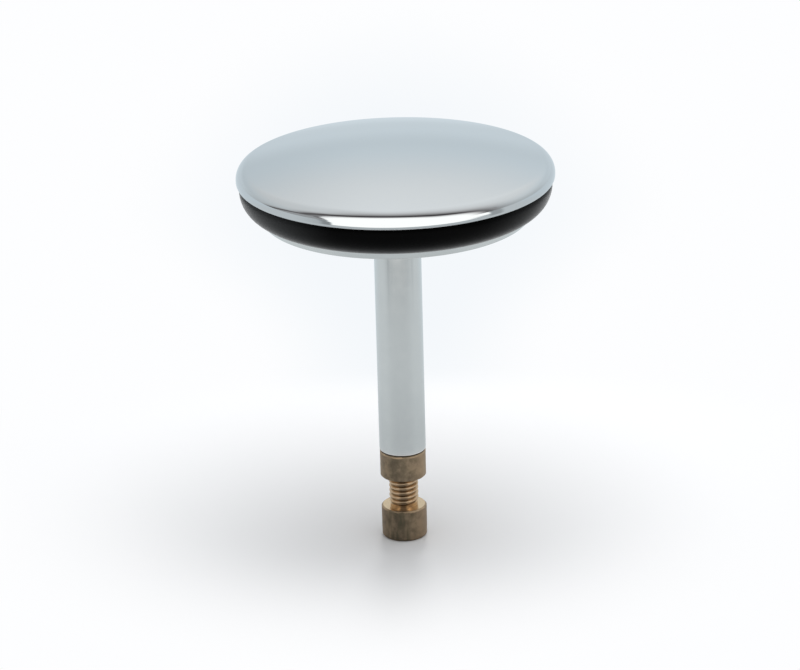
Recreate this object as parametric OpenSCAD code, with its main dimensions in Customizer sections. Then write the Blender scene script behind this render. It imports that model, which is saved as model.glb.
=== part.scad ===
// Plug of a pop-up basin waste: a domed cap with its seal, a guide stem below it,
// and a screw with a locknut that sets how high the plug stands.
// It stands on the head of the screw: Z is the axis, and Z = 0 is the foot.

/* [Cap] */
// Widest diameter of the cap
cap_d = 63; // [55:0.5:75]
// Height of the dome's crown above the widest line of the rim
dome_rise = 5.6; // [4.6:0.1:9]
// Radius of the rounding from the dome into the rim
rim_round = 2; // [1:0.1:3]
// Depth of the rim below its widest line
rim_drop = 1.45; // [1:0.05:2.5]
// How far the lower edge of the rim turns in
rim_tuck = 1.05; // [0.6:0.05:1.2]
// Width of the folded rim, from its widest line to its inner wall
rim_w = 2.4; // [2.2:0.1:4]
// Sheet thickness of the dome
cap_wall = 1.2; // [0.8:0.1:1.8]
// Radius in the corner between the dome and the inner wall of the rim
cap_fillet = 0.8; // [0.4:0.1:1.2]

/* [Boss] */
// Diameter of the boss's flange under the dome
boss_flange_d = 22; // [18:0.5:30]
// Thickness of that flange at its edge
boss_flange_h = 2; // [1.5:0.1:3]
// Diameter of the boss's neck
boss_neck_d = 14; // [12:0.5:17]
// Radius between the neck and the flange
boss_fillet = 1.2; // [0.5:0.1:1.2]

/* [Seal] */
// How far the rim stands out past the seal's widest line
seal_inset = 0.55; // [0.3:0.05:0.9]
// Depth of the curved seating face below the widest line
seat_h = 4.3; // [3.5:0.1:6]
// How far the seating face draws in over that depth
seat_taper = 2.95; // [2:0.05:3.4]
// Radius of the seal's shoulder under the rim
shoulder_r = 1.05; // [0.6:0.05:1.5]
// Height of the collar that centres the seal inside the rim
collar_h = 1.7; // [1:0.1:2]
// Width of the relief groove that lets the sealing edge flex
relief_w = 1.8; // [1:0.1:2.4]
// Depth of the relief groove
relief_h = 4; // [2:0.1:4.5]
// Wall left between the collar's outside and the relief groove
relief_wall = 1.5; // [1:0.1:1.8]

/* [Retaining disc] */
// Thickness of the disc's flange under the seal
disc_h = 1.7; // [1.2:0.1:2.5]
// How far the seal stands out past the disc's edge
disc_inset = 1.15; // [0.6:0.05:1.4]
// Radius of the disc's lower edge
disc_round = 0.6; // [0.3:0.1:0.9]
// Width of the flange that carries the seal
disc_ledge = 4; // [3:0.1:4.5]
// Height of the raised middle that centres the seal
disc_step_h = 1.9; // [1.2:0.1:2.4]

/* [Stem] */
// Diameter of the guide stem
stem_d = 9.44; // [9.4:0.02:11]
// Length of the guide stem below the disc
stem_l = 50.5; // [42:0.5:70]
// Radius of the stem's lower edge
stem_round = 0.4; // [0.2:0.05:0.6]
// Thread diameter of the spigot that screws into the boss
spigot_d = 7.8; // [7:0.1:8]
// Length of the spigot above the disc
spigot_l = 5.6; // [4:0.1:7]
// Depth of the tapped hole for the adjusting screw
tapped_l = 32; // [31:0.5:38]

/* [Locknut] */
// Diameter of the locknut
nut_d = 9.32; // [8:0.02:9.38]
// Height of the locknut
nut_h = 5.7; // [4:0.1:8]
// Chamfer of the locknut's outer edges
nut_chamfer = 0.35; // [0.1:0.05:0.6]

/* [Adjusting screw] */
// Outside diameter of the M6 thread
thread_d = 5.94; // [5.8:0.02:5.98]
// Length of the threaded shank above the head
shank_l = 35; // [34.5:0.5:38]
// Thread left in view between the head and the locknut
thread_gap = 6.6; // [6.5:0.1:8]
// Diameter of the head
head_d = 9.22; // [8:0.02:9.38]
// Height of the head
head_h = 6.65; // [4:0.05:10]
// Chamfer of the head's upper edge
head_chamfer = 0.3; // [0.1:0.05:0.6]
// Radius of the head's lower edge
head_round = 0.55; // [0.2:0.05:1]
// Width of the screwdriver slot in the head's lower face
slot_w = 1.2; // [0.8:0.1:1.6]
// Depth of the screwdriver slot
slot_h = 1.8; // [1:0.1:2.5]
// Diameter of the plain neck that the thread rolling leaves under the head
neck_d = 5.4; // [4.8:0.05:5.6]
// Length of that neck
neck_l = 1.5; // [0.8:0.1:2]

/* [Fits] */
// Clearance round a thread, on the radius
thread_fit = 0.05; // [0.02:0.01:0.1]
// Clearance round a part that only centres another, on the radius
loose_fit = 0.1; // [0.05:0.01:0.2]
// Countersink at the mouth of a tapped hole
countersink = 0.5; // [0.2:0.05:0.7]

/* [Hidden] */
$fn = 128;
past = 1;               // how far a cutting shape runs past the face that it cuts
drill_point = 118;      // included angle of a drilled hole's bottom

// Radii
cap_r = cap_d / 2;
seal_r = cap_r - seal_inset;
stem_r = stem_d / 2;
thread_r = thread_d / 2;
tap_r = thread_r + thread_fit;
spigot_r = spigot_d / 2;
seat_foot_r = seal_r - seat_taper;
disc_r = seat_foot_r - disc_inset;
step_r = disc_r - disc_ledge;
rim_in_r = cap_r - rim_w;

// Heights, from the foot up
nut_z = head_h + thread_gap;
stem_z = nut_z + nut_h;
disc_z = stem_z + stem_l;
seal_z = disc_z + disc_h;
seal_wide_z = seal_z + seat_h;
rim_z = seal_wide_z + shoulder_r;
wide_z = rim_z + rim_drop;
crown_z = wide_z + dome_rise;
step_z = seal_z + disc_step_h;
spigot_z = step_z + spigot_l;

// The dome is one arc that runs smoothly into the rounding of the rim
dome_r = (pow(cap_r - rim_round, 2) + pow(dome_rise, 2) - pow(rim_round, 2))
    / (2 * (dome_rise - rim_round));
// The arc that runs from the widest line down into the rim's lower edge
tuck_r = (pow(rim_tuck, 2) + pow(rim_drop, 2)) / (2 * rim_tuck);
// The arc of the seating face, upright at the seal's widest line
seat_r = (pow(seat_taper, 2) + pow(seat_h, 2)) / (2 * seat_taper);
// The dome's inside falls to this height where it meets the fillet's centre
under_r = dome_r - cap_wall;
under_z = crown_z - dome_r;
fillet_x = rim_in_r - cap_fillet;
fillet_z = under_z + sqrt(pow(under_r - cap_fillet, 2) - pow(fillet_x, 2));

// A rectangle from one corner to the other, in the plane that is turned round Z
module block(r0, z0, r1, z1) {
    translate([r0, z0]) square([r1 - r0, z1 - z0]);
}

// The part of a circle that lies between two heights
module arc_band(r, x, z, z0, z1) {
    intersection() {
        translate([x, z]) circle(r = r);
        block(0, z0, x + r + past, z1);
    }
}

// Everything inside the arc of the dome, out to a radius and down to a height
module dome_section(r, to_r, z0) {
    intersection() {
        translate([0, under_z]) circle(r = r, $fn = 512);
        block(0, z0, to_r, crown_z + past);
    }
}

// The hole that a drill leaves, from its mouth at z = 0 upwards
module drilled(r, depth) {
    point_h = r / tan(drill_point / 2);
    translate([0, 0, -past]) cylinder(r = r, h = depth + past);
    translate([0, 0, depth]) cylinder(r1 = r, r2 = 0, h = point_h);
}

// The cone that opens the mouth of a hole at z = 0, going up into the part
module sunk(r) {
    translate([0, 0, -past])
        cylinder(r1 = r + countersink + past, r2 = r, h = countersink + past);
}

// A turned cylinder with a chamfer on its lower and on its upper edge
module turned(r, h, low, high) {
    rotate_extrude() polygon([
        [0, 0], [r - low, 0], [r, low], [r, h - high], [r - high, h], [0, h]
    ]);
}

// A turned cylinder whose lower edge is round and whose upper edge is chamfered
module round_foot(r, h, low, high) {
    rotate_extrude() {
        translate([r - low, low]) intersection() {
            circle(r = low);
            translate([0, -low]) square(low);
        }
        block(0, 0, r - low, low);
        polygon([[0, low], [r, low], [r, h - high], [r - high, h], [0, h]]);
    }
}

// Drawn brass dome with a folded rim
module cap() {
    rim_x = cap_r - rim_round;
    tuck_x = cap_r - tuck_r;
    color("silver") rotate_extrude($fn = 180) difference() {
        union() {
            arc_band(rim_round, rim_x, wide_z, wide_z, crown_z);
            arc_band(tuck_r, tuck_x, wide_z, rim_z, wide_z);
            block(0, rim_z, tuck_x, wide_z);
            dome_section(dome_r, rim_x * dome_r / (dome_r - rim_round), wide_z);
        }
        dome_section(under_r, fillet_x, rim_z - past);
        block(0, rim_z - past, rim_in_r, fillet_z);
        translate([fillet_x, fillet_z]) circle(r = cap_fillet);
    }
}

// Turned brass boss, brazed under the dome, that the stem screws into
module cap_boss() {
    neck_r = boss_neck_d / 2;
    flange_r = boss_flange_d / 2;
    flange_z = under_z + sqrt(pow(under_r, 2) - pow(flange_r, 2)) - boss_flange_h;
    color("goldenrod") difference() {
        rotate_extrude() {
            dome_section(under_r, flange_r, flange_z);
            block(0, step_z, neck_r, flange_z);
            difference() {
                block(neck_r, flange_z - boss_fillet, neck_r + boss_fillet, flange_z);
                translate([neck_r + boss_fillet, flange_z - boss_fillet])
                    circle(r = boss_fillet);
            }
        }
        translate([0, 0, step_z]) {
            drilled(spigot_r + thread_fit, spigot_l + countersink);
            sunk(spigot_r + thread_fit);
        }
    }
}

// Moulded rubber ring: a collar inside the rim, a shoulder under it, a curved seat below
module seal() {
    collar_r = rim_in_r - loose_fit;
    bore_r = step_r + loose_fit;
    groove_r = collar_r - relief_wall;
    top_z = rim_z + collar_h;
    color("dimgray") rotate_extrude($fn = 180) difference() {
        union() {
            arc_band(seat_r, seal_r - seat_r, seal_wide_z, seal_z, seal_wide_z);
            arc_band(shoulder_r, seal_r - shoulder_r, seal_wide_z, seal_wide_z, rim_z);
            block(bore_r, seal_wide_z, seal_r - shoulder_r, rim_z);
            block(bore_r, seal_z, seal_r - seat_r, seal_wide_z);
            block(bore_r, rim_z, collar_r, top_z);
        }
        block(groove_r - relief_w, top_z - relief_h, groove_r, top_z + past);
        translate([groove_r - relief_w / 2, top_z - relief_h]) circle(r = relief_w / 2);
        block(0, seal_z - past, bore_r, top_z + past);
    }
}

// Plated disc that holds the seal up against the rim
module retaining_disc() {
    color("gainsboro") difference() {
        union() {
            translate([0, 0, disc_z]) round_foot(disc_r, disc_h, disc_round, 0);
            translate([0, 0, seal_z]) turned(step_r, disc_step_h, 0, countersink);
        }
        translate([0, 0, disc_z - past])
            cylinder(r = spigot_r + loose_fit, h = disc_h + disc_step_h + 2 * past);
    }
}

// Plated brass guide stem, tapped from below, with a threaded spigot on top
module stem() {
    color("lightgray") difference() {
        union() {
            translate([0, 0, stem_z]) round_foot(stem_r, stem_l, stem_round, 0);
            translate([0, 0, disc_z])
                turned(spigot_r, spigot_z - disc_z, 0, countersink);
        }
        translate([0, 0, stem_z]) {
            drilled(tap_r, tapped_l);
            sunk(tap_r);
        }
    }
}

// Brass locknut, round and smooth, that jams against the stem's lower end
module locknut() {
    color("peru") translate([0, 0, nut_z]) difference() {
        turned(nut_d / 2, nut_h, nut_chamfer, nut_chamfer);
        translate([0, 0, -past]) cylinder(r = tap_r, h = nut_h + 2 * past);
        sunk(tap_r);
        translate([0, 0, nut_h]) mirror([0, 0, 1]) sunk(tap_r);
    }
}

// Brass screw whose head is the plug's foot, with a slot for a screwdriver
module adjusting_screw() {
    color("darkgoldenrod") {
        difference() {
            round_foot(head_d / 2, head_h, head_round, head_chamfer);
            translate([-head_d, -slot_w / 2, -past]) cube([2 * head_d, slot_w, slot_h + past]);
        }
        translate([0, 0, head_h]) cylinder(d = neck_d, h = neck_l);
        translate([0, 0, head_h + neck_l])
            turned(thread_r, shank_l - neck_l, thread_r - neck_d / 2, countersink);
    }
}

cap();
cap_boss();
seal();
retaining_disc();
stem();
locknut();
adjusting_screw();
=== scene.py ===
# %% [markdown]
# # Plug of a pop-up basin waste
# The object is a domed chrome cap with a rubber seal under its rim. A satin plated
# stem hangs below it, and ends in a brass locknut and a brass screw, on whose head
# the plug stands. The CAD model holds every piece at its true size. This script
# gives each piece a finely turned mesh and the finish of the real metal or rubber.
#
# The first cell loads the CAD model as a fixed frame and keeps its box, because
# the dressed model may not grow out of it.

# %% Load the frame
import bpy
import math
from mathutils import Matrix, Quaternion, Vector


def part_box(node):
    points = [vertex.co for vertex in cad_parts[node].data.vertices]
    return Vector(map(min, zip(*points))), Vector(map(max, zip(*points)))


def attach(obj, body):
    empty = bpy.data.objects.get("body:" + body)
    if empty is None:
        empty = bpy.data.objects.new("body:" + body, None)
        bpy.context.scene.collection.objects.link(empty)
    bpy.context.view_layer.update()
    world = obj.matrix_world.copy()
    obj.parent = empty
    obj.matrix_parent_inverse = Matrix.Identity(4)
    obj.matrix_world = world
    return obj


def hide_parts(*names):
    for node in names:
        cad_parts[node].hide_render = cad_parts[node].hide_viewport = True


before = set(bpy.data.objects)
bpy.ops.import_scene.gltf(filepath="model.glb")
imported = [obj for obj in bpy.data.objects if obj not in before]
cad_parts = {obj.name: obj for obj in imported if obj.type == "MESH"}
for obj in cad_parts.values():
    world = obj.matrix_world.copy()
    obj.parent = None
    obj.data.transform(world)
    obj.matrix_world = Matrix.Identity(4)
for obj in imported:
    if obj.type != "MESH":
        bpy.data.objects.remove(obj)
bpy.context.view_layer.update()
MM = 0.001

# %% [markdown]
# ## Sizes
# Outer sizes come from the boxes of the CAD nodes, so they follow the frame. A box
# doesn't say how a profile curves on its way, so the radii and steps of each profile
# are written once, where the piece is turned, as on a turner's drawing. A few sizes
# that several pieces share come first.

# %% Sizes from the frame
cap_low, cap_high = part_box("cap")
seal_low, seal_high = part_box("seal")
disc_low, disc_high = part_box("retaining_disc")
stem_low, stem_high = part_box("stem")
nut_low, nut_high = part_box("locknut")
screw_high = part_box("adjusting_screw")[1]

cap_r = cap_high.x
crown_z = cap_high.z
rim_z = cap_low.z
seal_r = seal_high.x
seal_z = seal_low.z
disc_r = disc_high.x
disc_z = disc_low.z
stem_r = stem_high.x
stem_z = stem_low.z
nut_r = nut_high.x
nut_z = nut_low.z
nut_top = nut_high.z
head_r = screw_high.x
shank_top = screw_high.z
print("cap radius", round(cap_r / MM, 2), "mm, stem radius", round(stem_r / MM, 2), "mm")

# %% Sizes that several pieces share
loose_fit = 0.1 * MM
countersink = 0.5 * MM
thread_r = 2.97 * MM
thread_fit = 0.05 * MM
tap_r = thread_r + thread_fit
spigot_r = 3.9 * MM
disc_ledge = 4.0 * MM
step_r = disc_r - disc_ledge
edge_grow = 0.2 * MM
edge_r = disc_r + edge_grow
print("thread", round(2 * thread_r / MM, 2), "mm across, tapped holes", round(2 * tap_r / MM, 2))

# %% [markdown]
# ## A pen for turned parts
# Every piece was turned on a lathe, moulded or spun, so its form is a profile
# turned round the axis. By hand one would start with a single vertex, extrude it
# along the straight stretches, spin it round a centre for each arc, and at last
# spin the whole line once round Z. The pen does exactly that, and remembers where
# it is, so that a profile reads like a drawing. The cap and the seal are wide, so
# their turn takes more steps than that of the stem.

# %% The pen
SAME_POINT = 0.0001 * MM
SMOOTH_BELOW = math.radians(32)
AROUND_CAP = 256
AROUND_DISC = 224
AROUND_STEM = 160
AROUND_BLANK = 96


class Pen:
    """Draws a profile in the XZ plane from one vertex, and turns it round Z."""

    def __init__(self, name, r, z):
        bpy.ops.object.select_all(action="DESELECT")
        bpy.ops.mesh.primitive_plane_add(size=1 * MM, location=(0, 0, 0))
        self.piece = bpy.context.object
        self.piece.name = name
        self.piece.data.name = name
        self.at = Vector((r, 0, z))
        bpy.ops.object.mode_set(mode="EDIT")
        bpy.ops.mesh.select_all(action="SELECT")
        bpy.ops.mesh.merge(type="CENTER")
        bpy.ops.transform.translate(value=self.at)

    def to(self, r, z, steps=1):
        """A straight stretch to radius r and height z."""
        step = (Vector((r, 0, z)) - self.at) / steps
        for _ in range(steps):
            bpy.ops.mesh.extrude_vertices_move(TRANSFORM_OT_translate={"value": step})
        self.at = Vector((r, 0, z))

    def arc(self, r, z, degrees, steps):
        """An arc round a centre; positive degrees go clockwise, seen from the front."""
        angle = math.radians(degrees)
        bpy.ops.mesh.spin(steps=steps, angle=-angle, center=(r, 0, z), axis=(0, 1, 0))
        x, y = self.at.x - r, self.at.z - z
        self.at = Vector((
            r + x * math.cos(angle) + y * math.sin(angle), 0,
            z - x * math.sin(angle) + y * math.cos(angle),
        ))

    def turn(self, steps):
        """Spins the profile once round Z and closes the seam and the poles."""
        bpy.ops.mesh.select_all(action="SELECT")
        bpy.ops.mesh.remove_doubles(threshold=SAME_POINT)
        bpy.ops.mesh.spin(
            steps=steps, angle=math.tau, center=(0, 0, 0), axis=(0, 0, 1)
        )
        close_up()
        bpy.ops.object.mode_set(mode="OBJECT")
        bpy.ops.object.shade_smooth_by_angle(angle=SMOOTH_BELOW)
        print(self.piece.name, len(self.piece.data.polygons), "faces")
        return self.piece


def close_up(gap=0.001 * MM):
    """Merges doubled vertices and turns every face outwards, in edit mode."""
    bpy.ops.mesh.select_all(action="SELECT")
    bpy.ops.mesh.remove_doubles(threshold=gap)
    bpy.ops.mesh.normals_make_consistent(inside=False)
    bpy.ops.mesh.select_all(action="DESELECT")


def edit(piece):
    """Selects one piece alone and opens it in edit mode."""
    bpy.ops.object.select_all(action="DESELECT")
    bpy.context.view_layer.objects.active = piece
    piece.select_set(True)
    bpy.ops.object.mode_set(mode="EDIT")


# %% [markdown]
# ## The cap
# The cap is a drawn brass dome with a folded rim, chrome plated. Its reflections
# show every flaw of its form, so the dome is one true arc that runs smoothly into
# the rounding of the rim, with many fine steps. A scaled sphere would be quicker,
# but its rim would be a knife edge, and it would miss the thin dark line that the
# rounding draws in the reflection.
#
# The arc of the dome has to meet the arc of the rim with the same slope. Its centre
# lies on the axis, so the rise of the dome and the radius of the rim's rounding
# leave only one radius for it. The narrow upright land below ends the bright strip
# in the reflection, and the lip tucks in under it.

# %% The cap's arcs
rim_round = 2.53 * MM
rim_land = 0.32 * MM
rim_drop = 0.8 * MM
rim_tuck = 0.55 * MM
lip_gap = 0.06 * MM
lip_z = rim_z + lip_gap
land_z = lip_z + rim_drop
wide_z = land_z + rim_land
dome_rise = crown_z - wide_z
rim_x = cap_r - rim_round
dome_r = (rim_x ** 2 + dome_rise ** 2 - rim_round ** 2) / (2 * (dome_rise - rim_round))
dome_centre_z = crown_z - dome_r
dome_angle = math.degrees(math.asin(rim_x / (dome_r - rim_round)))
tuck_r = (rim_tuck ** 2 + rim_drop ** 2) / (2 * rim_tuck)
tuck_angle = math.degrees(math.asin(rim_drop / tuck_r))
print("dome radius", round(dome_r / MM, 1), "mm, rise", round(dome_rise / MM, 2), "mm")

# %% The cap's inside
rim_w = 2.4 * MM
cap_wall = 1.2 * MM
cap_fillet = 0.8 * MM
rim_in_r = cap_r - rim_w
under_r = dome_r - cap_wall
fillet_x = rim_in_r - cap_fillet
fillet_angle = math.degrees(math.asin(fillet_x / (under_r - cap_fillet)))
fillet_z = dome_centre_z + math.sqrt((under_r - cap_fillet) ** 2 - fillet_x ** 2)
print("inside of the rim", round(2 * rim_in_r / MM, 1), "mm across")

# %% Turn the cap
pen = Pen("cap_shell", 0, crown_z)
pen.arc(0, dome_centre_z, dome_angle, steps=56)
pen.arc(rim_x, wide_z, 90 - dome_angle, steps=30)
pen.to(cap_r, land_z, steps=3)
pen.arc(cap_r - tuck_r, land_z, tuck_angle, steps=18)
pen.to(rim_in_r, lip_z)
pen.to(rim_in_r, fillet_z)
pen.arc(fillet_x, fillet_z, fillet_angle - 90, steps=6)
pen.arc(0, dome_centre_z, -fillet_angle, steps=24)
cap = pen.turn(AROUND_CAP)

# %% [markdown]
# ## The seal
# The seal is one moulded ring of black rubber. A collar centres it inside the rim,
# a shoulder fills the corner under the rim, and a curved face runs in below to
# close on the mouth of the waste. The groove inside lets that edge flex. A torus
# would give the black band too, but a round one, while the real face is a flat arc
# that starts upright at the shoulder, so the mould's own profile is drawn.

# %% The seal's sizes
shoulder_r = 1.05 * MM
seat_h = 4.6 * MM
seat_taper = 2.95 * MM
relief_w = 1.8 * MM
relief_h = 4.0 * MM
relief_wall = 1.5 * MM
seat_r = (seat_taper ** 2 + seat_h ** 2) / (2 * seat_taper)
seat_angle = math.degrees(math.asin(seat_h / seat_r))
seal_wide_z = rim_z - shoulder_r
seal_foot_z = seal_wide_z - seat_h
collar_r = rim_in_r - loose_fit
groove_r = collar_r - relief_wall
groove_in_r = groove_r - relief_w
groove_z = seal_high.z - relief_h
seal_in_r = step_r + loose_fit
print("closing face from", round(2 * seal_r / MM, 1), "mm across, radius", round(seat_r / MM, 1))

# %% Turn the seal
pen = Pen("seal_ring", seal_in_r, seal_high.z)
pen.to(groove_in_r, seal_high.z)
pen.to(groove_in_r, groove_z)
pen.arc(groove_r - relief_w / 2, groove_z, -180, steps=10)
pen.to(groove_r, seal_high.z)
pen.to(collar_r, seal_high.z)
pen.to(collar_r, rim_z)
pen.to(seal_r - shoulder_r, rim_z)
pen.arc(seal_r - shoulder_r, seal_wide_z, 90, steps=12)
pen.arc(seal_r - seat_r, seal_wide_z, seat_angle, steps=24)
pen.to(edge_r + loose_fit, seal_foot_z)
pen.to(edge_r + loose_fit, seal_z)
pen.to(seal_in_r, seal_z)
pen.to(seal_in_r, seal_high.z)
seal = pen.turn(AROUND_CAP)

# %% [markdown]
# ## The retaining disc
# A plated disc holds the seal up against the rim. Only its edge shows, as a pale
# ring below the seal. A cylinder with a bevel would do for the ring's height, but
# the edge leans in a little towards its foot, as blanked sheet does. That decides
# which part of the floor it mirrors, so the lean is drawn in the profile.

# %% The disc's sizes
disc_h = 1.7 * MM
disc_drop = 0.2 * MM
disc_round = 0.25 * MM
disc_taper = 0.38 * MM
hole_r = spigot_r + loose_fit
ledge_z = disc_z + disc_h
low_z = disc_z - disc_drop
foot_r = edge_r - disc_taper
lean = math.degrees(math.atan(disc_taper / (seal_z - low_z)))
print("edge leans", round(lean, 1), "degrees")

# %% Turn the disc
pen = Pen("disc_plate", hole_r, low_z)
pen.to(foot_r - disc_round, low_z, steps=6)
pen.arc(foot_r - disc_round, low_z + disc_round, lean - 90, steps=8)
pen.to(edge_r, seal_z, steps=2)
pen.to(edge_r, ledge_z)
pen.to(step_r, ledge_z)
pen.to(step_r, disc_high.z - countersink)
pen.to(step_r - countersink, disc_high.z)
pen.to(hole_r, disc_high.z)
pen.to(hole_r, low_z)
disc = pen.turn(AROUND_DISC)

# %% [markdown]
# ## The stem
# The guide stem is drawn bar, turned down to a spigot on top and tapped from
# below. The small radius on its lower edge catches the light just above the
# locknut. A plain cylinder would look the same from outside at rest, but the hole
# opens to view when the locknut is let down, so it is part of the profile.

# %% Turn the stem
stem_round = 0.4 * MM
tapped_l = 32.0 * MM
drill_half_angle = math.radians(59)
hole_top = stem_z + tapped_l

pen = Pen("guide_stem", 0, stem_high.z)
pen.to(spigot_r - countersink, stem_high.z)
pen.to(spigot_r, stem_high.z - countersink)
pen.to(spigot_r, low_z)
pen.to(stem_r, low_z)
pen.to(stem_r, stem_z + stem_round, steps=40)
pen.arc(stem_r - stem_round, stem_z + stem_round, 90, steps=8)
pen.to(tap_r + countersink, stem_z)
pen.to(tap_r, stem_z + countersink)
pen.to(tap_r, hole_top)
pen.to(0, hole_top + tap_r / math.tan(drill_half_angle))
stem = pen.turn(AROUND_STEM)

# %% [markdown]
# ## The locknut
# The locknut is a short length of the same bar, bored and tapped, with a small
# chamfer at each edge. It is smooth and round, so it is turned by grip alone. A
# tube with a Bevel modifier would come close, but the countersinks in the bore are
# wider than the chamfers outside, and one profile gives each its own size.

# %% Turn the locknut
nut_chamfer = 0.22 * MM

pen = Pen("locknut_ring", tap_r, nut_z + countersink)
pen.to(tap_r + countersink, nut_z)
pen.to(nut_r - nut_chamfer, nut_z)
pen.to(nut_r, nut_z + nut_chamfer)
pen.to(nut_r, nut_top - nut_chamfer, steps=6)
pen.to(nut_r - nut_chamfer, nut_top)
pen.to(tap_r + countersink, nut_top)
pen.to(tap_r, nut_top - countersink)
pen.to(tap_r, nut_z + countersink)
nut = pen.turn(AROUND_STEM)

# %% [markdown]
# ## The adjusting screw
# The screw's head is turned, and its thread is rolled. A row of rings would look
# like a thread from afar but wouldn't climb, so the groove is made as the rolling
# makes it: one pitch of its profile is carried up and round by the Screw modifier,
# the ends are cut square, and the whole is joined with the head and its neck.

# %% Turn the head and its neck
head_h = 6.65 * MM
head_chamfer = 0.3 * MM
head_round = 0.55 * MM
neck_r = 2.76 * MM
neck_l = 0.4 * MM

pen = Pen("screw", 0, 0)
pen.to(head_r - head_round, 0)
pen.arc(head_r - head_round, head_round, -90, steps=8)
pen.to(head_r, head_h - head_chamfer, steps=6)
pen.to(head_r - head_chamfer, head_h)
pen.to(neck_r, head_h)
pen.to(neck_r, head_h + neck_l)
pen.to(0, head_h + neck_l)
screw = pen.turn(AROUND_STEM)

# %% [markdown]
# One pitch of the thread runs from the bottom of the groove over the crest to the
# bottom of the next. The crest is broader than a new one would be, because old dirt
# fills the groove. Each point has a radius and its height as a share of the pitch.

# %% One pitch of the thread
thread_pitch = 1.0 * MM
thread_depth = 0.5 * MM
thread_start = 0.85 * MM
crest_round = 0.03 * MM
groove_round = 0.02 * MM
root_r = thread_r - thread_depth
start_z = head_h - thread_start
thread_profile = (
    (root_r + groove_round, 0.09),
    (thread_r - crest_round, 0.33),
    (thread_r, 0.42),
    (thread_r, 0.58),
    (thread_r - crest_round, 0.67),
    (root_r + groove_round, 0.91),
    (root_r, 1.0),
)
pen = Pen("thread", root_r, start_z)
for r, share in thread_profile:
    pen.to(r, start_z + share * thread_pitch)
thread = pen.piece
bpy.ops.object.mode_set(mode="OBJECT")
print("thread M6, pitch", thread_pitch / MM, "mm, depth", round(thread_depth / MM, 2), "mm")

# %% Carry it up and round
THREAD_STEPS = 72
SPARE_TURNS = 3
thread_low = head_h + neck_l / 2
turns = math.ceil((shank_top - thread_low) / thread_pitch) + SPARE_TURNS
climb = thread.modifiers.new("climb", "SCREW")
climb.axis = "Z"
climb.angle = math.tau
climb.screw_offset = thread_pitch
climb.iterations = turns
climb.steps = THREAD_STEPS
climb.render_steps = THREAD_STEPS
bpy.ops.object.modifier_apply(modifier=climb.name)
edit(thread)
close_up()
bpy.ops.object.mode_set(mode="OBJECT")
print("thread", turns, "turns,", len(thread.data.polygons), "faces")

# %% [markdown]
# The turns have to be merged into one skin before the ends are cut, because the
# cut only closes a loop that has no gaps. Bisect also pulls points that lie near its
# plane onto it, by 0.1 mm unless it is told less, and that would tear the thread.

# %% Cut the thread's ends square
def cut_off(piece, z, keep_above):
    """Cuts a piece along a level plane, drops one side and closes the cut."""
    edit(piece)
    bpy.ops.mesh.select_all(action="SELECT")
    bpy.ops.mesh.bisect(
        plane_co=(0, 0, z), plane_no=(0, 0, 1), use_fill=True,
        clear_inner=keep_above, clear_outer=not keep_above, threshold=SAME_POINT,
    )
    close_up()
    bpy.ops.object.mode_set(mode="OBJECT")


cut_off(thread, thread_low, keep_above=True)
cut_off(thread, shank_top, keep_above=False)
print("thread", len(thread.data.polygons), "faces")

# %% [markdown]
# A rolled thread runs out at both ends. The blank gives it that before rolling: the
# thread is kept only where it lies inside a bar that tapers at its lower end and
# has a chamfer on top. Two more Booleans join it to the head and saw the slot.

# %% Join by Boolean
def combine(piece, tool, operation):
    """Adds a tool's solid to a piece, or takes it away, and deletes the tool."""
    bpy.ops.object.select_all(action="DESELECT")
    bpy.context.view_layer.objects.active = piece
    piece.select_set(True)
    step = piece.modifiers.new(operation.lower(), "BOOLEAN")
    step.operation = operation
    step.solver = "EXACT"
    step.object = tool
    bpy.ops.object.modifier_apply(modifier=step.name)
    bpy.data.objects.remove(tool)


thread_fade = 1.2 * MM
blank_r = thread_r + 0.01 * MM
pen = Pen("blank", 0, thread_low)
pen.to(neck_r, thread_low)
pen.to(blank_r, thread_low + thread_fade)
pen.to(blank_r, shank_top - countersink)
pen.to(thread_r - countersink, shank_top)
pen.to(0, shank_top)
blank = pen.turn(AROUND_BLANK)
combine(thread, blank, "INTERSECT")
combine(screw, thread, "UNION")

# %% Saw the slot
slot_w = 1.2 * MM
slot_h = 1.8 * MM
sliver = 0.004 * MM
bpy.ops.object.select_all(action="DESELECT")
bpy.ops.mesh.primitive_cube_add(size=1, location=(0, 0, 0))
saw = bpy.context.object
bpy.ops.object.mode_set(mode="EDIT")
bpy.ops.transform.resize(value=(3 * head_r, slot_w, 2 * slot_h))
bpy.ops.object.mode_set(mode="OBJECT")
combine(screw, saw, "DIFFERENCE")
edit(screw)
close_up(sliver)
bpy.ops.object.mode_set(mode="OBJECT")
bpy.ops.object.shade_smooth_by_angle(angle=SMOOTH_BELOW)
print("screw", len(screw.data.polygons), "faces")

# %% [markdown]
# ## Shader maths
# A finish is easier to read as a formula than as a net of nodes. This small class
# wraps a socket, so that sums and products of sockets add the Math nodes that
# they need.

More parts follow.
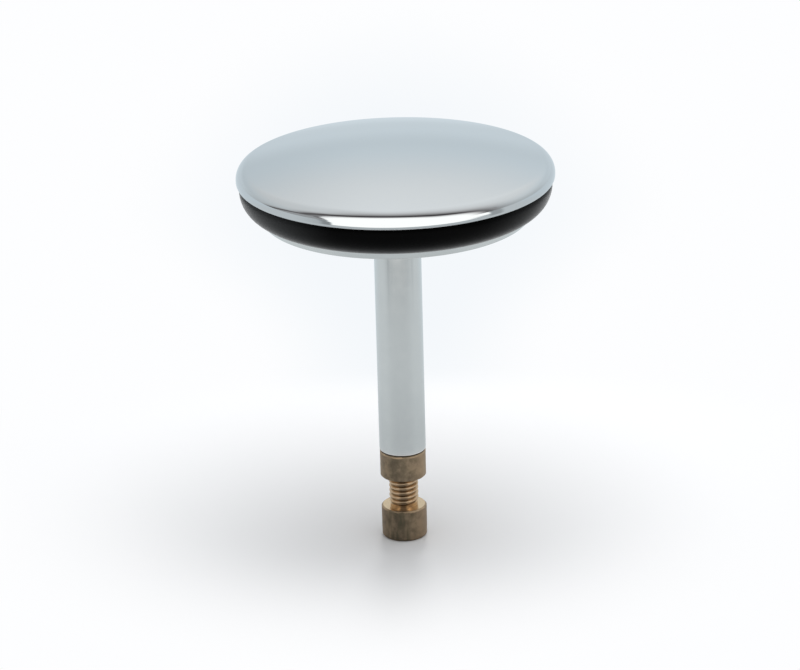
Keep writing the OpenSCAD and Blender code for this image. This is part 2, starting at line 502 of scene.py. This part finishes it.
# %% Shader maths in Python
class Value:
    """A number on its way through a node tree."""

    def __init__(self, tree, socket):
        self.tree = tree
        self.socket = socket

    def math(self, operation, *others):
        """Any operation of the Math node, on this number and others."""
        step = self.tree.nodes.new("ShaderNodeMath")
        step.operation = operation
        for place, value in zip(step.inputs, (self,) + others):
            put(self.tree, place, value)
        return Value(self.tree, step.outputs[0])

    def __add__(self, other):
        return self.math("ADD", other)

    def __mul__(self, other):
        return self.math("MULTIPLY", other)

    def __sub__(self, other):
        return self.math("SUBTRACT", other)

    def __rsub__(self, other):
        return (self * -1) + other

    def __truediv__(self, other):
        return self.math("DIVIDE", other)

    __radd__ = __add__
    __rmul__ = __mul__

    def size(self):
        """The number without its sign."""
        return self.math("ABSOLUTE")

    def ramp(self, low, high):
        """0 below low, 1 above high and an S-curve between."""
        step = self.tree.nodes.new("ShaderNodeMapRange")
        step.interpolation_type = "SMOOTHSTEP"
        put(self.tree, step.inputs["Value"], self)
        put(self.tree, step.inputs["From Min"], low)
        put(self.tree, step.inputs["From Max"], high)
        return Value(self.tree, step.outputs["Result"])


def put(tree, place, value):
    """Links a socket or sets a plain value."""
    if isinstance(value, Value):
        tree.links.new(value.socket, place)
    elif isinstance(value, bpy.types.NodeSocket):
        tree.links.new(value, place)
    else:
        place.default_value = value


def length(x, y):
    """The length of a line that goes x one way and y square to it."""
    return (x * x + y * y).math("SQRT")


# %% A net and a finish
class Net:
    """A node tree, with one method for any node."""

    def __init__(self, tree):
        self.tree = tree

    def node(self, kind, settings=(), output=0, **inputs):
        """Adds a node, gives it its settings and inputs, and returns one output."""
        step = self.tree.nodes.new("ShaderNode" + kind)
        for key, value in dict(settings).items():
            setattr(step, key, value)
        for key, value in inputs.items():
            put(self.tree, step.inputs[key.replace("_", " ")], value)
        return Value(self.tree, step.outputs[output])

    def parts(self, vector):
        """The x, y and z of a vector."""
        step = self.tree.nodes.new("ShaderNodeSeparateXYZ")
        put(self.tree, step.inputs[0], vector)
        return [Value(self.tree, out) for out in step.outputs]

    def mix(self, mask, first, second):
        """The first colour where the mask is 0, the second where it is 1."""
        step = self.tree.nodes.new("ShaderNodeMix")
        step.data_type = "RGBA"
        put(self.tree, step.inputs["Factor"], mask)
        for index, value in ((6, first), (7, second)):
            put(self.tree, step.inputs[index], value)
        return Value(self.tree, step.outputs[2])

    def mix_shaders(self, mask, first, second):
        """The first shader where the mask is 0, the second where it is 1."""
        step = self.tree.nodes.new("ShaderNodeMixShader")
        for place, value in zip(step.inputs, (mask, first, second)):
            put(self.tree, place, value)
        return Value(self.tree, step.outputs[0])

    def scaled(self, colour, amount):
        """A colour times an amount, through Vector Math."""
        return self.node("VectorMath", {"operation": "SCALE"}, Vector=colour, Scale=amount)


class Finish(Net):
    """A material with its Principled shader."""

    def __init__(self, name, **constants):
        self.material = bpy.data.materials.new(name)
        self.material.use_nodes = True
        super().__init__(self.material.node_tree)
        self.shader = self.tree.nodes["Principled BSDF"]
        self.coords = self.tree.nodes.new("ShaderNodeTexCoord").outputs["Object"]
        for socket, value in constants.items():
            self.set(socket.replace("_", " "), value)
        print("finish", name)

    def set(self, socket, value):
        """Feeds a socket of the Principled shader."""
        put(self.tree, self.shader.inputs[socket], value)

    def noise(self, scale, detail=3.0, rough=0.5, stretch=(1, 1, 1)):
        """Noise from about 0 to 1; scale is in cells a millimetre."""
        place = self.node("Mapping", Vector=self.coords, Scale=stretch)
        return self.node(
            "TexNoise", Vector=place, Scale=scale / MM, Detail=detail, Roughness=rough
        )

    def bump(self, height, depth):
        """Raises the surface by height times depth; depth is in metres."""
        self.set("Normal", self.node("Bump", Strength=1.0, Distance=depth, Height=height))


# %% [markdown]
# ## Polished chrome
# Chrome has next to no colour of its own. A plain shader with no roughness would
# mirror the room like glass and look false. What makes it look real is a faint
# waviness left by the polishing and a haze that comes and goes. Both are far
# weaker than one expects.

# %% Chrome
CHROME_COOL = (0.625, 0.645, 0.66, 1)
CHROME_WARM = (0.645, 0.66, 0.665, 1)
POLISH_WAVE = 0.004 * MM
chrome = Finish("polished_chrome", Metallic=1.0)
haze = chrome.noise(0.05, detail=4)
smudge = chrome.noise(0.9, detail=5)
chrome.set("Base Color", chrome.mix(haze, CHROME_COOL, CHROME_WARM))
chrome.set("Roughness", 0.03 + 0.03 * haze + 0.02 * smudge)
chrome.bump(chrome.noise(0.08, detail=1), POLISH_WAVE)

# %% [markdown]
# ## Satin plate
# The stem and the disc are plated over drawn and turned brass. The plating keeps
# the lines of the drawing die, which run along the stem. A picture of brushed
# metal would show them too, but it would need a seam; noise that is stretched along
# Z runs round the stem without one.

# %% Satin plate
SATIN_DARK = (0.685, 0.695, 0.69, 1)
SATIN_LIGHT = (0.75, 0.755, 0.745, 1)
DIE_LINE = 0.004 * MM
satin = Finish("satin_plate", Metallic=1.0)
lines = satin.noise(2.2, detail=4, stretch=(1, 1, 0.02))
cloud = satin.noise(0.35, detail=4, rough=0.6)
satin.set("Base Color", satin.mix(cloud, SATIN_DARK, SATIN_LIGHT))
satin.set("Roughness", 0.11 + 0.05 * cloud + 0.04 * lines)
satin.bump(lines, DIE_LINE)

# %% [markdown]
# ## Rubber
# Moulded rubber copies the satin of its mould. It is nearly black, and what is
# seen of its form is the soft sheen at its sides. One dark grey would look like
# painted card. The lower edge, which closes on the basin, is painted lighter as
# painted light from the floor. The left and right sides, the left more, are painted
# lighter as a painted sheen, so the colour follows the place.

# %% Rubber
RUBBER_BLACK = (0.0006, 0.0006, 0.0007, 1)
# Painted light: a lighter grey for the lower edge, and a painted sheen on the sides.
RUBBER_PAINTED_LIGHT = (0.038, 0.04, 0.041, 1)
PAINTED_BOUNCE_BAND = 2.4 * MM
PAINTED_BOUNCE_RAGGED = 0.5 * MM
PAINTED_BOUNCE_SHARE = 0.55
PAINTED_SHEEN_RAGGED = 2.0 * MM
PAINTED_SHEEN_LEANS_LEFT = 0.18
MOULD_GRAIN = 0.006 * MM
painted_sheen_band = (0.45 * seal_r, 1.15 * seal_r)
rubber = Finish(
    "black_rubber", Specular_IOR_Level=0.02, Sheen_Weight=0.75, Sheen_Roughness=0.32
)
grain = rubber.noise(3.0, detail=4, rough=0.6)
rubber_mottle = rubber.noise(0.4, detail=5, rough=0.6)
right, _, height = rubber.parts(rubber.coords)
ragged = height + rubber_mottle * PAINTED_BOUNCE_RAGGED
# Painted light: the lower edge is painted lighter, as the floor's light on it.
painted_light = (1 - ragged.ramp(seal_foot_z, seal_foot_z + PAINTED_BOUNCE_BAND)) * PAINTED_BOUNCE_SHARE
# Painted sheen: the left and right sides are painted lighter, the left more.
aside = right.size() - PAINTED_SHEEN_LEANS_LEFT * right + rubber_mottle * PAINTED_SHEEN_RAGGED
painted_light = painted_light.math("MAXIMUM", aside.ramp(*painted_sheen_band))
rubber.set("Base Color", rubber.mix(painted_light, RUBBER_BLACK, RUBBER_PAINTED_LIGHT))
rubber.set("Roughness", 0.36 + 0.12 * rubber_mottle + 0.06 * grain)
rubber.bump(grain, MOULD_GRAIN)

# %% [markdown]
# ## Brass
# The locknut and the head keep the dulled skin of the drawn bar on their sides,
# mottled brown and grey-green. Along the edges it is rubbed to gold, partly wear and
# partly a painted highlight. At the left and right it is painted gold as a painted
# reflection, while the middle stays dark, and the head is painted darker than the
# locknut as painted shade. One brass for all would lose the difference that the eye
# reads as age, so there are three: dull skin, bright cut faces and rolled thread.

# %% Where the skin is rubbed, with painted highlight and reflection
SKIN_DARK = (0.13, 0.10, 0.068, 1)
SKIN_LIGHT = (0.25, 0.188, 0.125, 1)
SKIN_GREEN = (0.092, 0.083, 0.052, 1)
# Gold for the rubbed edges and for the painted reflection on the left and right.
RUBBED_AND_LIT_GOLD = (0.55, 0.395, 0.25, 1)
EDGE_BAND = (0.05 * MM, 0.3 * MM)
EDGE_RAGGED = 0.9 * MM
PAINTED_SIDES_CENTRE = 0.9 * MM
PAINTED_SIDES_RAGGED = 2.5 * MM
head_edge_z = head_h - 0.15 * MM
nut_edge_z = nut_top - 0.35 * MM
painted_sides_band = (0.8 * MM, nut_r + 0.9 * MM)
dull = Finish("drawn_brass", Metallic=0.85)
blot = dull.noise(0.55, detail=5, rough=0.62)
streak = dull.noise(1.6, detail=4, stretch=(1, 1, 0.12))
right, _, height = dull.parts(dull.coords)
edge_gap = (height - head_edge_z).size()
edge_gap = edge_gap.math("MINIMUM", (height - nut_edge_z).size())
# Rubbed edges: wear, and partly a painted highlight along the chamfers.
rubbed_and_highlit = 1 - (edge_gap + (blot - 0.4) * EDGE_RAGGED).ramp(*EDGE_BAND)
# Painted reflection: gold towards the left and right, while the middle stays dark.
from_middle = (right + PAINTED_SIDES_CENTRE).size() + (blot - 0.5) * PAINTED_SIDES_RAGGED
painted_sides = from_middle.ramp(*painted_sides_band)

# %% Dulled brass
# Painted shade for the joint between the stem and the locknut.
JOINT_PAINTED_SHADE = (0.035, 0.028, 0.02, 1)
JOINT_SHADE_RAGGED = 0.08 * MM
SKIN_RELIEF = 0.01 * MM
PAINTED_SIDES_SHARE = 0.5
RUBBED_HIGHLIGHT_SHARE = 0.8
joint_shade_band = (nut_top - 0.17 * MM, nut_top - 0.1 * MM)
brown = dull.mix(blot.ramp(0.35, 0.65), SKIN_DARK, SKIN_LIGHT)
on_nut = height.ramp(head_h, nut_z)
green = streak.ramp(0.35, 0.65) * (1 - painted_sides) * (0.8 - 0.5 * on_nut)
skin = dull.mix(green, brown, SKIN_GREEN)
# Painted reflection: the left and right sides are painted gold.
skin = dull.mix(painted_sides * PAINTED_SIDES_SHARE, skin, RUBBED_AND_LIT_GOLD)
# Painted shade: the head is painted darker than the locknut.
skin = dull.scaled(skin, 0.8 + 0.25 * on_nut)
# Rubbed edges, partly wear and partly a painted highlight.
skin = dull.mix(rubbed_and_highlit * RUBBED_HIGHLIGHT_SHARE, skin, RUBBED_AND_LIT_GOLD)
# Painted shade: a dark band at the top of the locknut, in the joint under the stem.
joint_shade = (height - blot * JOINT_SHADE_RAGGED).ramp(*joint_shade_band)
dull.set("Base Color", dull.mix(joint_shade, skin, JOINT_PAINTED_SHADE))
dull.set("Roughness", 0.42 + 0.16 * blot)
dull.bump(blot + streak * 0.4, SKIN_RELIEF)

# %% [markdown]
# The cut faces are bright, with faint tool marks. The front of the thread and of
# the head is painted dark brown, as a painted reflection of something dark in
# front, so both finishes share one mask for it. In the thread the colour follows
# the distance from the axis: it is darker towards the bottom of the groove, partly
# dirt and partly painted shade.

# %% Bright brass
# Painted reflection: a dark brown for the front of the thread and the head.
FRONT_PAINTED_DARK = (0.085, 0.062, 0.043, 1)
FRONT_DARK_HALF = (0.4 * MM, 1.3 * MM)
FRONT_DARK_REACH = (0.0, 2.0 * MM)
FRONT_DARK_RAGGED = 1.5 * MM
FRONT_DARK_ON_CUT_FACES = 0.85
BRASS_GOLD = (0.72, 0.545, 0.345, 1)
BRASS_WARM = (0.65, 0.47, 0.29, 1)
TOOL_MARK = 0.003 * MM


def painted_front_dark(finish, right, back, share):
    """Mask of the painted dark reflection down the front of the thread."""
    patch = finish.noise(0.9, detail=4, rough=0.6)
    aside = (right + (patch - 0.4) * FRONT_DARK_RAGGED).size()
    return (1 - aside.ramp(*FRONT_DARK_HALF)) * (back * -1).ramp(*FRONT_DARK_REACH) * share


bright = Finish("bright_brass", Metallic=1.0)
tool_marks = bright.noise(2.5, detail=3, stretch=(0.4, 0.4, 3))
warm = bright.noise(0.8, detail=3)
right, back, _ = bright.parts(bright.coords)
metal = bright.mix(warm, BRASS_GOLD, BRASS_WARM)
# Painted reflection: the front is painted dark.
front_darkened = painted_front_dark(bright, right, back, FRONT_DARK_ON_CUT_FACES)
bright.set("Base Color", bright.mix(front_darkened, metal, FRONT_PAINTED_DARK))
bright.set("Roughness", 0.2 + 0.1 * tool_marks)
bright.bump(tool_marks, TOOL_MARK)

# %% Rolled brass
# A dark brown for the bottom of the groove, partly dirt and partly painted shade.
GROOVE_DARK = (0.28, 0.195, 0.115, 1)
CREST_GOLD = (0.60, 0.43, 0.27, 1)
GROOVE_RAGGED = 0.4 * MM
ROLLED_RELIEF = 0.004 * MM
FRONT_DARK_ON_THREAD = 0.6
out_of_groove_band = (root_r - 0.1 * MM, root_r + 0.35 * MM)
rolled = Finish("rolled_brass", Metallic=1.0)
right, back, _ = rolled.parts(rolled.coords)
patch = rolled.noise(0.9, detail=4, rough=0.6)
axis_gap = length(right, back) + (patch - 0.5) * GROOVE_RAGGED
# Partly dirt and partly painted shade: darker towards the bottom of the groove.
out_of_groove = axis_gap.ramp(*out_of_groove_band)
metal = rolled.mix(out_of_groove, GROOVE_DARK, CREST_GOLD)
# Painted reflection: the front is painted dark.
front_darkened = painted_front_dark(rolled, right, back, FRONT_DARK_ON_THREAD)
rolled.set("Base Color", rolled.mix(front_darkened, metal, FRONT_PAINTED_DARK))
rolled.set("Roughness", 0.45 - 0.13 * out_of_groove)
rolled.bump(patch, ROLLED_RELIEF)

# %% [markdown]
# ## Dress the pieces
# Each piece takes its finish, rides on its CAD body and replaces the plain CAD
# node. On the two brass pieces the faces near the outer radius are dull, those
# that lie level or line the holes are bright, and the thread's are rolled. Faces
# could be picked by hand, but a rule on their place and normal still holds when a
# profile changes.

# %% Dress
SKIN_DEPTH = 0.6 * MM
LEVEL = 0.95
JUST_ABOVE = 0.01 * MM


def dress(piece, body, node, slot, *finishes):
    """Gives a piece its finishes and puts it in its CAD node's place."""
    piece.data.materials.clear()
    for finish in finishes:
        piece.data.materials.append(finish.material)
    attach(piece, body)
    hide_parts(node)
    print(piece.name, "rides on", body, "in place of", node)


def sort_faces(piece, radius, thread_z):
    """Second finish on the outer skin, third on the thread above thread_z."""
    for face in piece.data.polygons:
        out = Vector((face.center.x, face.center.y, 0)).length
        on_skin = out > radius - SKIN_DEPTH and abs(face.normal.z) < LEVEL
        on_thread = face.center.z > thread_z
        face.material_index = 2 if on_thread else int(on_skin)


dress(cap, "plug", "cap", "polished_chrome", chrome)
dress(seal, "plug", "seal", "black_rubber", rubber)
dress(disc, "plug", "retaining_disc", "satin_plate", satin)
dress(stem, "plug", "stem", "satin_plate", satin)
dress(nut, "nut", "locknut", "aged_brass", bright, dull)
dress(screw, "screw", "adjusting_screw", "aged_brass", bright, dull, rolled)
sort_faces(nut, nut_r, nut_top)
sort_faces(screw, head_r, head_h + JUST_ABOVE)

# %% [markdown]
# The boss is brazed under the dome and can't be seen from any side. Its CAD mesh
# is good enough, so it only takes the colour of turned brass.

# %% Finish the boss
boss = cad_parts["cap_boss"]
boss.data.materials.clear()
boss.data.materials.append(bright.material)
print("cap_boss keeps its CAD mesh")

# %% [markdown]
# ## The room
# Polished metal shows its surroundings, so the room counts as much as the lamps.
# It is a pale room with a big bright window in front, and a dark frame round the
# window. The frame draws the thin dark line along the rim, and the window the
# white strip below it. Building such a room from planes would work too, but a
# world that answers by direction is lighter and throws no noise.
#
# Directions are told by their bearing, in degrees to the right of straight ahead,
# where ahead is towards the viewer, and by how far they point up, right and back.

# %% The bounds of the window
WINDOW_LEFT = -48.4
WINDOW_RIGHT = 66.5
WINDOW_SOFT = 1.5
WINDOW_GLOW = 1.55
FRAME_LEFT = 7.4
FRAME_RIGHT = 11.0
FRAME_SOFT = 2.5


def bearing(right, back):
    """Degrees from straight ahead, to the right."""
    return right.math("ARCTAN2", back * -1) * math.degrees(1)


def between(value, low, high, soft):
    """1 between two bounds and 0 outside them."""
    return value.ramp(low - soft, low + soft) * (1 - value.ramp(high - soft, high + soft))


def frame_sides(angle, left_bound):
    """Two masks, 1 on the left and on the right side of the window's frame."""
    on_left = between(angle, left_bound - FRAME_LEFT, left_bound, FRAME_SOFT)
    on_right = between(angle, WINDOW_RIGHT, WINDOW_RIGHT + FRAME_RIGHT, FRAME_SOFT)
    return on_left, on_right


# %% Colours of the room
WHITE = (0.985, 0.99, 1.0, 1)
# Painted shade: a cooler, darker white for the paper behind the plug.
PAINTED_SHADE_WHITE = (0.905, 0.935, 0.965, 1)
PAPER = (0.90, 0.905, 0.915, 1)
AMBIENT = (0.43, 0.435, 0.44, 1)
CEILING_TINT = (0.95, 0.985, 1.0, 1)
SIDE_TINT = (0.905, 0.97, 1.0, 1)
BACK_TINT = (0.86, 0.965, 1.03, 1)
FRAME_TINT = (1.0, 0.96, 0.97, 1)
WINDOW_TINT = (1, 1, 0.98, 1)

# %% [markdown]
# ## The floor
# The floor is white paper. Round the foot it is lit by the lamps and holds the
# plug's soft shadow. The lamps light only its middle, so further out it turns to
# plain white for the camera, with a painted shade that makes it a little cooler and
# darker behind the plug. For reflections it turns to tones of its own, because the
# stem and the disc mirror it. Painted shade makes it a little darker in front,
# beside the window's frame and round the foot, where it carries on the plug's
# shadow, and a painted pool of light makes it bright where the window shines on
# it. A floor that is only lit would need lamps all over the room. Distances are in
# metres.

# %% Lay the paper
FLOOR_SIZE = 6
bpy.ops.object.select_all(action="DESELECT")
bpy.ops.mesh.primitive_plane_add(size=FLOOR_SIZE, location=(0, 0, 0))
floor = bpy.context.object
floor.name = "floor"
paper = Finish("white_surface", Roughness=0.9, Specular_IOR_Level=0.0)
paper.set("Base Color", PAPER)
floor.data.materials.append(paper.material)
right, back, _ = paper.parts(paper.coords)
front = back * -1
away = length(right, back)
angle = bearing(right, back)

# %% The window's light on the floor
SHINE_FROM = (0.185, 0.215)
left_bound = WINDOW_LEFT + 4 * (1 - away.ramp(0.25, 0.8))
shine = ((front + away) / 2).ramp(*SHINE_FROM)
shine = between(angle, left_bound, WINDOW_RIGHT, WINDOW_SOFT) * shine
on_left, on_right = frame_sides(angle, left_bound)
edge = on_left.math("MAXIMUM", on_right)

# %% What metal sees in the floor
FLOOR_TONE = 0.76
# Painted shade in what metal sees: darker ahead, round the foot as the plug's shadow, and beside
# the frame.
AHEAD_PAINTED_SHADE = 0.07
FAR_AHEAD_PAINTED_SHADE = 0.2
FOOT_PAINTED_SHADOW = 0.1
BACK_GAIN = 0.06
FRAME_PAINTED_SHADE = 0.35
ahead = (front / away).ramp(0.2, 1.0)
tone = FLOOR_TONE - ahead * (AHEAD_PAINTED_SHADE + FAR_AHEAD_PAINTED_SHADE * away.ramp(0.13, 0.18))
tone = tone - FOOT_PAINTED_SHADOW * (1 - away.ramp(0.05, 0.1)) + BACK_GAIN * back.ramp(0.02, 0.2)
tone = tone * (1 - FRAME_PAINTED_SHADE * edge * away.ramp(0.12, 0.25))
# Painted pool of light where the window shines on the floor.
tone = tone * (1 - shine) + WINDOW_GLOW * shine
mirrored = paper.mix(back.ramp(0.0, 0.2), SIDE_TINT, BACK_TINT)
mirrored = paper.scaled(paper.mix(shine, mirrored, WINDOW_TINT), tone)

# %% What the camera sees far out
# Painted shade: behind the plug the camera's white is cooler and a little darker.
COOL_SHADE_BACK = 0.19
COOL_SHADE_LENGTH = 3
SHADOW_BACK = 0.045
SHADOW_SHORTER = 2.2
behind = (back - COOL_SHADE_BACK) / COOL_SHADE_LENGTH
sideways = right / (0.5 + 0.5 * back.ramp(0.1, 0.22))
plain = paper.mix(length(sideways, behind).ramp(0.02, 0.08), PAINTED_SHADE_WHITE, WHITE)
deep = (back - SHADOW_BACK).math("MAXIMUM", (back - SHADOW_BACK) * SHADOW_SHORTER)
far_out = length(right, deep).ramp(0.053, 0.108)

# %% The floor put together
is_camera = paper.node("LightPath", output="Is Camera Ray")
is_glossy = paper.node("LightPath", output="Is Glossy Ray")
own = is_camera * far_out + is_glossy * away.ramp(0.02, 0.05)
glow = paper.node("Emission", Color=paper.mix(is_camera, mirrored, plain))
surface = paper.mix_shaders(own, paper.shader.outputs[0], glow)
put(paper.tree, paper.tree.nodes["Material Output"].inputs["Surface"], surface)
print("floor", len(paper.tree.nodes), "nodes")

# %% [markdown]
# ## The world
# Metal sees the room in the world, the camera sees plain white, and every other
# surface gets an even light. The window fills the directions that point far enough
# ahead, between its two bounds. The upper bar of its frame lies outside the glass and
# fades into the wall, sooner at the left and right. The two sides of the frame are
# darkest a little above the horizon. A picture of a room wrapped round the scene
# would do as well, but formulas let each edge be moved by itself.

# %% Directions in the room
world = bpy.data.worlds.new("studio")
bpy.context.scene.world = world
world.use_nodes = True
room = Net(world.node_tree)
room.tree.nodes.clear()
right, back, up = room.parts(room.node("TexCoord", output="Generated"))
left = right * -1
front = back * -1
angle = bearing(right, back)
left_side = left.ramp(0.1, 0.6)
right_side = right.ramp(0.1, 0.6)
low_down = 1 - up.ramp(0.04, 0.97)

# %% The window
GLASS_AHEAD = 0.64
GLASS_LEAN = 0.145
GLASS_RIGHT_GAIN = 0.3
GLASS_SOFT = 0.117
LOW_WIDENING = 3
HIGH_WIDENING = 4.9
glass_from = GLASS_AHEAD + GLASS_LEAN * right - GLASS_RIGHT_GAIN * right.ramp(0.32, 1.0)
left_bound = WINDOW_LEFT - LOW_WIDENING * up.ramp(0.0, 0.15)
left_bound = left_bound - HIGH_WIDENING * up.ramp(0.15, 0.3)
window = between(angle, left_bound, WINDOW_RIGHT, WINDOW_SOFT)
window = window * (front - glass_from).ramp(-GLASS_SOFT, GLASS_SOFT)

# %% The middle of the frame's upper bar
BAR_BEFORE_GLASS = 0.175
BAR_LEFT_SHIFT = 0.05
BAR_RIGHT_SHIFT = 0.137
SLANT = 1.26
SLANT_BELOW = 0.355
slant = SLANT * (SLANT_BELOW - up).math("MAXIMUM", 0.0) * left.ramp(0.84, 0.97)
bar_middle = glass_from - BAR_BEFORE_GLASS - BAR_LEFT_SHIFT * left.ramp(0.4, 0.9)
bar_middle = bar_middle + BAR_RIGHT_SHIFT * right.ramp(0.4, 0.9) - slant
past_bar = front - bar_middle

# %% How dark the frame is
REACH = 1.71
LEFT_SHORTER = 1.26
RIGHT_SHORTER = 0.67
FADE_POWER = 3.9
BRIGHTER_PAST_BAR = 0.61
RIGHT_SIDE_SHARE = 0.66
FRAME_DEPTH = 0.945
LEFT_PALER = 0.125
reach = REACH - LEFT_SHORTER * left_side - RIGHT_SHORTER * right_side
before = (past_bar * -1 / reach).math("MAXIMUM", 0.0).math("MINIMUM", 1.0)
fade = (1 - before).math("POWER", FADE_POWER)
after = past_bar.ramp(0.04, 0.2) * low_down
on_left, on_right = frame_sides(angle, left_bound)
edge = on_left.math("MAXIMUM", RIGHT_SIDE_SHARE * on_right)
edge = edge * low_down * (0.35 + 0.65 * up.ramp(0.0, 0.3))
dark = (fade * (1 - BRIGHTER_PAST_BAR * after)).math("MAXIMUM", edge)
depth = FRAME_DEPTH - LEFT_PALER * left.ramp(0.4, 0.9)

# %% The wall and the ceiling
WALL_TONE = 0.673
WALL_RISE = 0.2
LEFT_WALL_LOSS = 0.086
RIGHT_WALL_GAIN = 0.032
LOW_BACK_GAIN = 0.13
CEILING_GAIN = 0.2
LEFT_CEILING_LOSS = 0.142
RIGHT_CEILING_LOSS = 0.124
rise = WALL_RISE - LEFT_WALL_LOSS * left.ramp(0.02, 0.25)
rise = rise + RIGHT_WALL_GAIN * right.ramp(0.1, 0.5)
wall = WALL_TONE + rise * up.ramp(0.0, 0.45)
wall = wall + LOW_BACK_GAIN * back.ramp(0.4, 0.8) * (1 - up.ramp(0.1, 0.3))
ceiling = CEILING_GAIN - LEFT_CEILING_LOSS * left_side - RIGHT_CEILING_LOSS * right_side
wall = wall + ceiling * up.ramp(0.35, 0.8)
tone = wall * (1 - depth * dark) * (1 - window) + WINDOW_GLOW * window
tint = room.mix(back.ramp(0.2, 0.95), SIDE_TINT, BACK_TINT)
tint = room.mix(up.ramp(0.3, 0.65), tint, CEILING_TINT)
tint = room.mix(dark, tint, FRAME_TINT)
tint = room.mix(window, tint, WINDOW_TINT)

# %% The world put together
is_camera = room.node("LightPath", output="Is Camera Ray")
is_glossy = room.node("LightPath", output="Is Glossy Ray")
metal_sees = room.node("Background", Color=room.scaled(tint, tone))
others_see = room.node("Background", Color=room.mix(is_camera, AMBIENT, WHITE))
answer = room.mix_shaders(is_glossy, others_see, metal_sees)
output = room.tree.nodes.new("ShaderNodeOutputWorld")
put(room.tree, output.inputs["Surface"], answer)
print("world", len(room.tree.nodes), "nodes")

# %% [markdown]
# ## The lamps
# Two round lamps draw the shadow on the paper. A wide one overhead makes the pool
# of soft shadow below the cap, and a smaller one behind the plug brings it forward,
# in front of the foot. A sun would be simpler, but its shadow would be hard. Metal
# doesn't see the lamps, because the room already has its window.

# %% Lamps
def add_lamp(name, size, energy, place):
    """A round lamp aimed at the foot, which metal doesn't see; size in metres."""
    lamp_data = bpy.data.lights.new(name, "AREA")
    lamp_data.shape = "DISK"
    lamp_data.size = size
    lamp_data.energy = energy
    lamp = bpy.data.objects.new(name, lamp_data)
    bpy.context.scene.collection.objects.link(lamp)
    lamp.location = place
    lamp.rotation_euler = (-lamp.location).to_track_quat("-Z", "Y").to_euler()
    lamp.visible_glossy = False
    print("lamp", name, energy, "W")


add_lamp("overhead", size=0.62, energy=2.45, place=(0.04, 0.0, 0.6))
add_lamp("behind", size=0.14, energy=0.7, place=(0.03, 0.45, 0.4))

# %% [markdown]
# ## Camera
# The photograph's frame is 800 by 670 pixels. The camera looks down on the plug
# from close by, with a long lens, and is turned a little, so that the plug leans.
# Its angles, the lens and the plug's place in the picture come from fitting the
# outlines. A shifted lens would put the plug in its place too, but turning the
# camera a little is what one does with a camera in the hand.

# %% Camera
PHOTO_W, PHOTO_H = 800, 670
PX_PER_MM = 5.02
SENSOR_W = 36.0
aim_height = 60.0 * MM
aim_px = (397.64, 258.06)
distance = 650.0 * MM
elevation = math.radians(19.66)
roll = math.radians(-1.52)
focal_px = PX_PER_MM * distance / MM

camera_data = bpy.data.cameras.new("camera")
camera = bpy.data.objects.new("camera", camera_data)
bpy.context.scene.collection.objects.link(camera)
bpy.context.scene.camera = camera
camera_data.sensor_fit = "HORIZONTAL"
camera_data.sensor_width = SENSOR_W
camera_data.lens = focal_px * SENSOR_W / PHOTO_W
camera_data.clip_start = 10 * MM
print("lens", round(camera_data.lens, 1), "mm")

# %% Place and turn the camera
outwards = Vector((0, -math.cos(elevation), math.sin(elevation)))
camera.location = Vector((0, 0, aim_height)) + distance * outwards
yaw = math.atan((aim_px[0] - PHOTO_W / 2) / focal_px)
pitch = math.atan((aim_px[1] - PHOTO_H / 2) / focal_px)
look = (-outwards).to_track_quat("-Z", "Y")
camera.rotation_mode = "QUATERNION"
camera.rotation_quaternion = (
    look @ Quaternion((0, 0, 1), roll) @ Quaternion((0, 1, 0), yaw)
    @ Quaternion((1, 0, 0), pitch)
)
print("camera at", [round(c, 3) for c in camera.location])

# %% [markdown]
# ## The view
# Blender's default view softens bright tones, so white paper would come out grey.
# The photograph keeps its whites, so the Standard view is taken, which shows each
# tone as it is. Brighter lamps would whiten the paper too, but would pale the brass.

# %% View settings
bpy.context.scene.view_settings.view_transform = "Standard"
